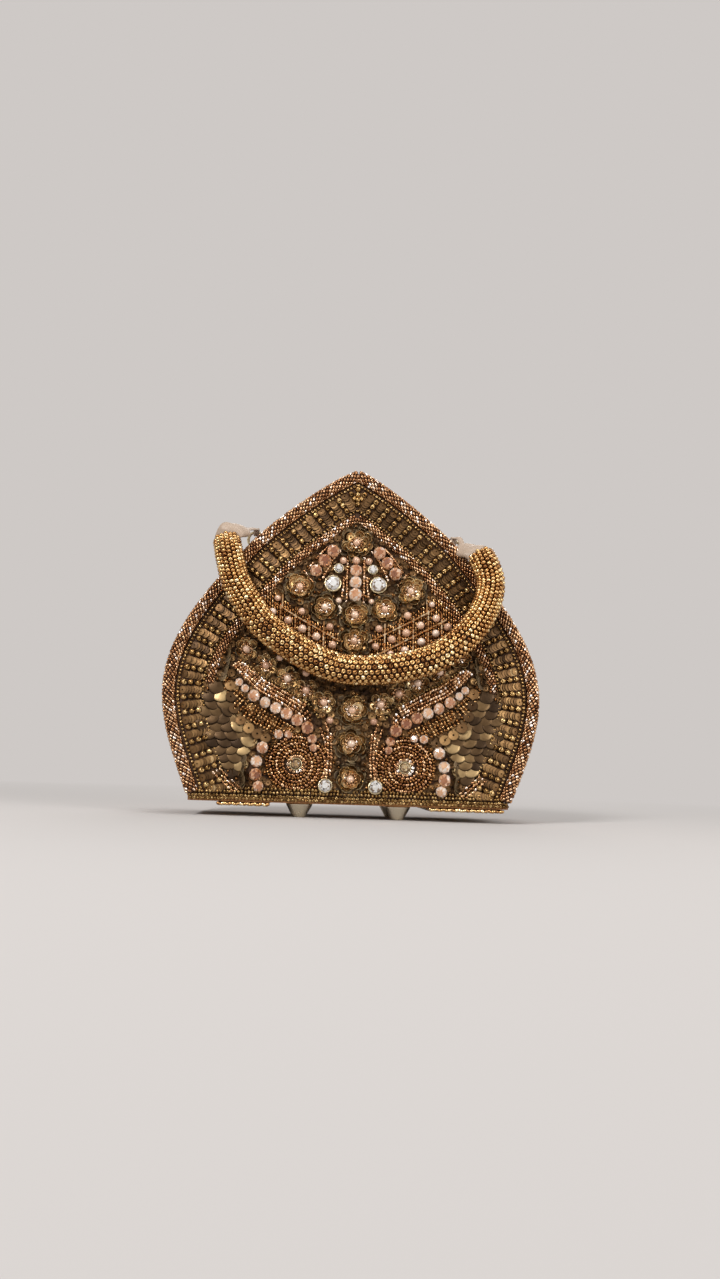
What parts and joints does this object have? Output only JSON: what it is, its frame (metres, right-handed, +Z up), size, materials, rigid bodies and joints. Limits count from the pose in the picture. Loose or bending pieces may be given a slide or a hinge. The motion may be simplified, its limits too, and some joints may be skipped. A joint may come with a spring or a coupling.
{
  "type": "potli bag",
  "caption": "Dome-shaped beaded evening bag with stiff worked panels, folded side gussets, a studded base, a snap mouth and a bead-wrapped rope handle on rings.",
  "frame": {"origin": "centre of the footprint on the floor, under the studs", "axes": "+Z up; the worked front faces -Y; +X runs along the base, to the right as seen from the front"},
  "size_m": [0.1972, 0.0708, 0.189],
  "materials": {
    "velvet": "matte pile",
    "board": "matte",
    "embroidery": "sequins, crystals and bead cords",
    "cord_beads": "metallic, polished",
    "handle_beads": "metallic, polished",
    "lining": "satin",
    "strap": "satin",
    "stud_metal": "pale, polished",
    "steel": "satin",
    "core": "matte"
  },
  "bodies": {
    "front_and_base": {"front_board": "board", "front_lining": "lining", "base_lining": "lining", "front_embroidery": "embroidery", "front_rope_left": "cord_beads", "front_rope_right": "cord_beads", "base_panel": "velvet", "gusset_left": "velvet", "gusset_right": "velvet", "ring_tab_left": "velvet", "ring_tab_right": "velvet", "base_bead_band_left": "handle_beads", "base_bead_band_right": "handle_beads", "ring_left": "stud_metal", "ring_right": "stud_metal", "stud_front_left": "stud_metal", "stud_front_right": "stud_metal", "stud_back_left": "stud_metal", "stud_back_right": "stud_metal", "front_snap": "steel", "stud_washer_front_left": "steel", "stud_washer_front_right": "steel", "stud_washer_back_left": "steel", "stud_washer_back_right": "steel"},
    "back_panel": {"back_board": "board", "back_cloth": "velvet", "back_lining": "lining", "back_piping_left": "velvet", "back_piping_right": "velvet", "back_snap": "steel"},
    "handle": {"handle_bead_sleeve": "handle_beads", "handle_core": "core", "handle_strap_left": "strap", "handle_strap_right": "strap"}
  },
  "joints": [
    {"name": "back_panel_open", "type": "hinge", "parent": "front_and_base", "child": "back_panel", "pos_m": [0, 0.03104, 0.01111], "axis": [-1, 0, 0], "range_deg": [0, 10]},
    {"name": "handle_swing", "type": "hinge", "parent": "front_and_base", "child": "handle", "pos_m": [0, 0.00504, 0.15426], "axis": [-1, 0, 0], "range_deg": [0, 225]}
  ]
}
